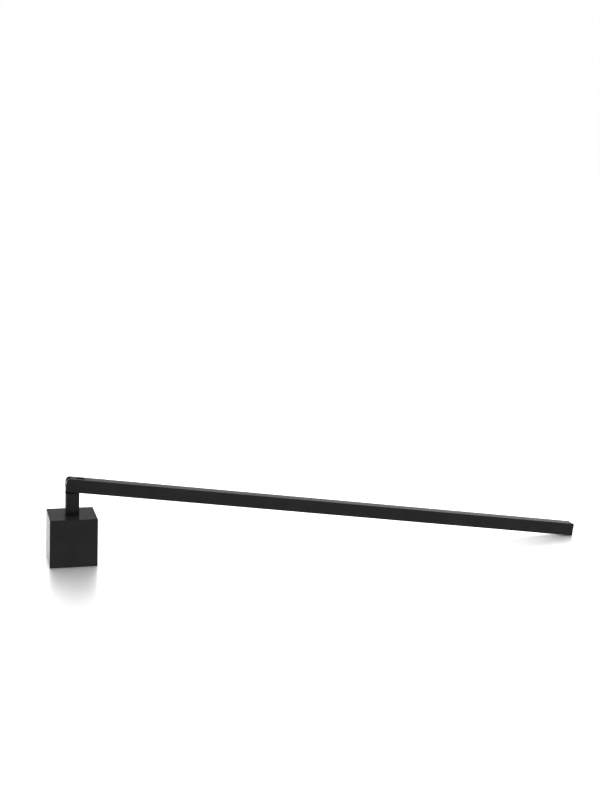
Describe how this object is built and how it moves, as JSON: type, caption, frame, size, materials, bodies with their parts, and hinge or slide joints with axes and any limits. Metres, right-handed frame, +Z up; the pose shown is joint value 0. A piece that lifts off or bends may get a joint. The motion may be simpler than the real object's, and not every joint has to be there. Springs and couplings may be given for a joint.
{
  "type": "candle snuffer",
  "caption": "Candle snuffer in satin black metal: a hollow square bell on a short square neck, hinged in the forked end of a long square handle whose tip rests on the table.",
  "frame": {"origin": "on the table, under the middle of the whole object's length and width", "axes": "+X from the bell to the tip of the handle, +Y away from the viewer of the front, +Z up; the bell's upright axis is at x = -0.13246 m"},
  "size_m": [0.2886, 0.0236, 0.0426],
  "materials": {
    "satin_black_coat": "satin black powder coat, very fine texture, over steel",
    "coated_pin": "satin black, coated over with the handle",
    "blackened_steel": "blackened zinc-plated steel hardware"
  },
  "bodies": {
    "bell": {"bell_cup": "satin_black_coat", "neck_post": "satin_black_coat", "bell_screw": "blackened_steel", "spring_washer": "blackened_steel", "hinge_pin": "coated_pin"},
    "handle": {"handle_bar": "satin_black_coat"}
  },
  "joints": [
    {"name": "handle_hinge", "type": "hinge", "parent": "bell", "child": "handle", "pos_m": [-0.13246, 0, 0.0391], "axis": [0, -1, 0], "range_deg": [0, 194.7]}
  ]
}
